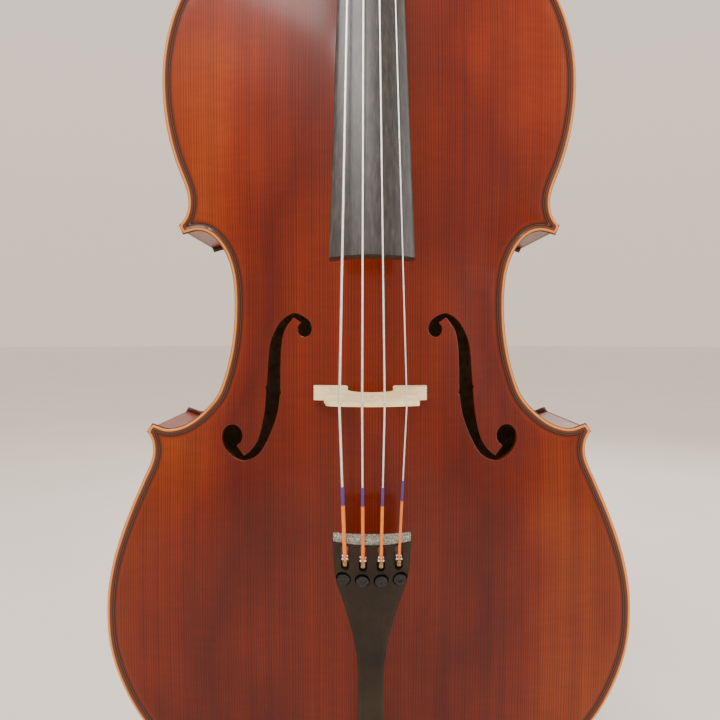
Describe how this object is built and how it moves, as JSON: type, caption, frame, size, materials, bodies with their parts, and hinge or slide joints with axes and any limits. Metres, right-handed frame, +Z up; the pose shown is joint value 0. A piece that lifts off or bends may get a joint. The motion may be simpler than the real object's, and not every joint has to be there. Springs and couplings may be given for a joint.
{
  "type": "cello",
  "caption": "Full-size bowed string instrument with arched soundbox, f-holes, bridge, fingerboard, scroll, turning pegs, tailpiece fine tuners and sliding endpin.",
  "frame": {"origin": "centre of the flat bottom of the endpin rubber tip, endpin pushed in", "axes": "+Z up the instrument towards the scroll, front faces -Y, +X is the treble side"},
  "size_m": [0.4358, 0.2627, 1.2854],
  "materials": {
    "top_varnish": "glossy red-brown varnish on spruce",
    "maple_varnish": "glossy red-brown varnish on flamed maple",
    "inner_wood": "bare spruce and willow",
    "bridge_wood": "unvarnished maple",
    "ebony": "satin ebony",
    "composite": "textured black composite",
    "steel": "satin",
    "dark_metal": "black oxide, knurled",
    "string_steel": "polished winding, silk at the tail end",
    "cord": "braided cord",
    "rubber": "matte black"
  },
  "bodies": {
    "root": {"top_plate": "top_varnish", "back_plate": "maple_varnish", "neck": "maple_varnish", "neck_block": "inner_wood", "end_block": "inner_wood", "bass_bar": "inner_wood", "sound_post": "inner_wood", "fingerboard": "ebony", "nut": "ebony", "saddle": "ebony", "bridge": "bridge_wood", "tailpiece": "composite", "tailgut": "cord", "endpin_collar": "ebony", "rib_upper_bass": "maple_varnish", "rib_centre_bass": "maple_varnish", "rib_lower_bass": "maple_varnish", "rib_upper_treble": "maple_varnish", "rib_centre_treble": "maple_varnish", "rib_lower_treble": "maple_varnish", "lining_front_upper_bass": "inner_wood", "lining_back_upper_bass": "inner_wood", "lining_front_centre_bass": "inner_wood", "lining_back_centre_bass": "inner_wood", "lining_front_lower_bass": "inner_wood", "lining_back_lower_bass": "inner_wood", "lining_front_upper_treble": "inner_wood", "lining_back_upper_treble": "inner_wood", "lining_front_centre_treble": "inner_wood", "lining_back_centre_treble": "inner_wood", "lining_front_lower_treble": "inner_wood", "lining_back_lower_treble": "inner_wood", "corner_block_upper_bass": "inner_wood", "corner_block_lower_bass": "inner_wood", "corner_block_upper_treble": "inner_wood", "corner_block_lower_treble": "inner_wood", "string_c": "string_steel", "string_g": "string_steel", "string_d": "string_steel", "string_a": "string_steel"},
    "endpin": {"endpin_rod": "steel", "endpin_tip": "rubber"},
    "thumbscrew": {"endpin_thumbscrew": "dark_metal"},
    "peg_c": {"peg_c": "ebony"},
    "peg_g": {"peg_g": "ebony"},
    "peg_d": {"peg_d": "ebony"},
    "peg_a": {"peg_a": "ebony"},
    "tuner_lever_c": {"tuner_lever_c": "steel"},
    "tuner_shank_c": {"tuner_shank_c": "steel"},
    "tuner_head_c": {"tuner_head_c": "dark_metal"},
    "tuner_lever_g": {"tuner_lever_g": "steel"},
    "tuner_shank_g": {"tuner_shank_g": "steel"},
    "tuner_head_g": {"tuner_head_g": "dark_metal"},
    "tuner_lever_d": {"tuner_lever_d": "steel"},
    "tuner_shank_d": {"tuner_shank_d": "steel"},
    "tuner_head_d": {"tuner_head_d": "dark_metal"},
    "tuner_lever_a": {"tuner_lever_a": "steel"},
    "tuner_shank_a": {"tuner_shank_a": "steel"},
    "tuner_head_a": {"tuner_head_a": "dark_metal"}
  },
  "joints": [
    {"name": "peg_c_turn", "type": "hinge", "parent": "root", "child": "peg_c", "pos_m": [0, -0.02273, 1.11169], "axis": [1, 0, 0], "continuous": true},
    {"name": "peg_g_turn", "type": "hinge", "parent": "root", "child": "peg_g", "pos_m": [0, -0.00624, 1.1656], "axis": [1, 0, 0], "continuous": true},
    {"name": "peg_d_turn", "type": "hinge", "parent": "root", "child": "peg_d", "pos_m": [0, 0.00228, 1.18945], "axis": [1, 0, 0], "continuous": true},
    {"name": "peg_a_turn", "type": "hinge", "parent": "root", "child": "peg_a", "pos_m": [0, -0.01585, 1.13584], "axis": [1, 0, 0], "continuous": true},
    {"name": "tuner_shank_c_travel", "type": "slide", "parent": "root", "child": "tuner_shank_c", "axis": [0, 0.9578, 0.2874], "range_m": [-0.0012, 0.0024]},
    {"name": "tuner_head_c_turn", "type": "hinge", "parent": "tuner_shank_c", "child": "tuner_head_c", "pos_m": [-0.0204, -0.13659, 0.28696], "axis": [0, 0.9578, 0.2874], "range_deg": [-720, 1440]},
    {"name": "tuner_lever_c_tilt", "type": "hinge", "parent": "root", "child": "tuner_lever_c", "pos_m": [-0.0192, -0.13242, 0.30439], "axis": [1, 0, 0], "range_deg": [-4.5, 9]},
    {"name": "tuner_shank_g_travel", "type": "slide", "parent": "root", "child": "tuner_shank_g", "axis": [0, 0.9578, 0.2874], "range_m": [-0.0012, 0.0024]},
    {"name": "tuner_head_g_turn", "type": "hinge", "parent": "tuner_shank_g", "child": "tuner_head_g", "pos_m": [-0.0068, -0.13659, 0.28696], "axis": [0, 0.9578, 0.2874], "range_deg": [-720, 1440]},
    {"name": "tuner_lever_g_tilt", "type": "hinge", "parent": "root", "child": "tuner_lever_g", "pos_m": [-0.0064, -0.13455, 0.30375], "axis": [1, 0, 0], "range_deg": [-4.5, 9]},
    {"name": "tuner_shank_d_travel", "type": "slide", "parent": "root", "child": "tuner_shank_d", "axis": [0, 0.9578, 0.2874], "range_m": [-0.0012, 0.0024]},
    {"name": "tuner_head_d_turn", "type": "hinge", "parent": "tuner_shank_d", "child": "tuner_head_d", "pos_m": [0.0068, -0.13659, 0.28696], "axis": [0, 0.9578, 0.2874], "range_deg": [-720, 1440]},
    {"name": "tuner_lever_d_tilt", "type": "hinge", "parent": "root", "child": "tuner_lever_d", "pos_m": [0.0064, -0.13455, 0.30375], "axis": [1, 0, 0], "range_deg": [-4.5, 9]},
    {"name": "tuner_shank_a_travel", "type": "slide", "parent": "root", "child": "tuner_shank_a", "axis": [0, 0.9578, 0.2874], "range_m": [-0.0012, 0.0024]},
    {"name": "tuner_head_a_turn", "type": "hinge", "parent": "tuner_shank_a", "child": "tuner_head_a", "pos_m": [0.0204, -0.13659, 0.28696], "axis": [0, 0.9578, 0.2874], "range_deg": [-720, 1440]},
    {"name": "tuner_lever_a_tilt", "type": "hinge", "parent": "root", "child": "tuner_lever_a", "pos_m": [0.0192, -0.13242, 0.30439], "axis": [1, 0, 0], "range_deg": [-4.5, 9]},
    {"name": "endpin_slide", "type": "slide", "parent": "root", "child": "endpin", "axis": [0, 0, -1], "range_m": [0, 0.33]},
    {"name": "thumbscrew_turn", "type": "hinge", "parent": "root", "child": "thumbscrew", "pos_m": [0.012, 0, 0.043], "axis": [1, 0, 0], "range_deg": [0, 540]}
  ],
  "couplings": [
    {"joint": "tuner_head_c_turn", "follows": "tuner_shank_c_travel", "rad_per_m": 10472},
    {"joint": "tuner_lever_c_tilt", "follows": "tuner_shank_c_travel", "rad_per_m": 64.516},
    {"joint": "tuner_head_g_turn", "follows": "tuner_shank_g_travel", "rad_per_m": 10472},
    {"joint": "tuner_lever_g_tilt", "follows": "tuner_shank_g_travel", "rad_per_m": 64.516},
    {"joint": "tuner_head_d_turn", "follows": "tuner_shank_d_travel", "rad_per_m": 10472},
    {"joint": "tuner_lever_d_tilt", "follows": "tuner_shank_d_travel", "rad_per_m": 64.516},
    {"joint": "tuner_head_a_turn", "follows": "tuner_shank_a_travel", "rad_per_m": 10472},
    {"joint": "tuner_lever_a_tilt", "follows": "tuner_shank_a_travel", "rad_per_m": 64.516}
  ]
}
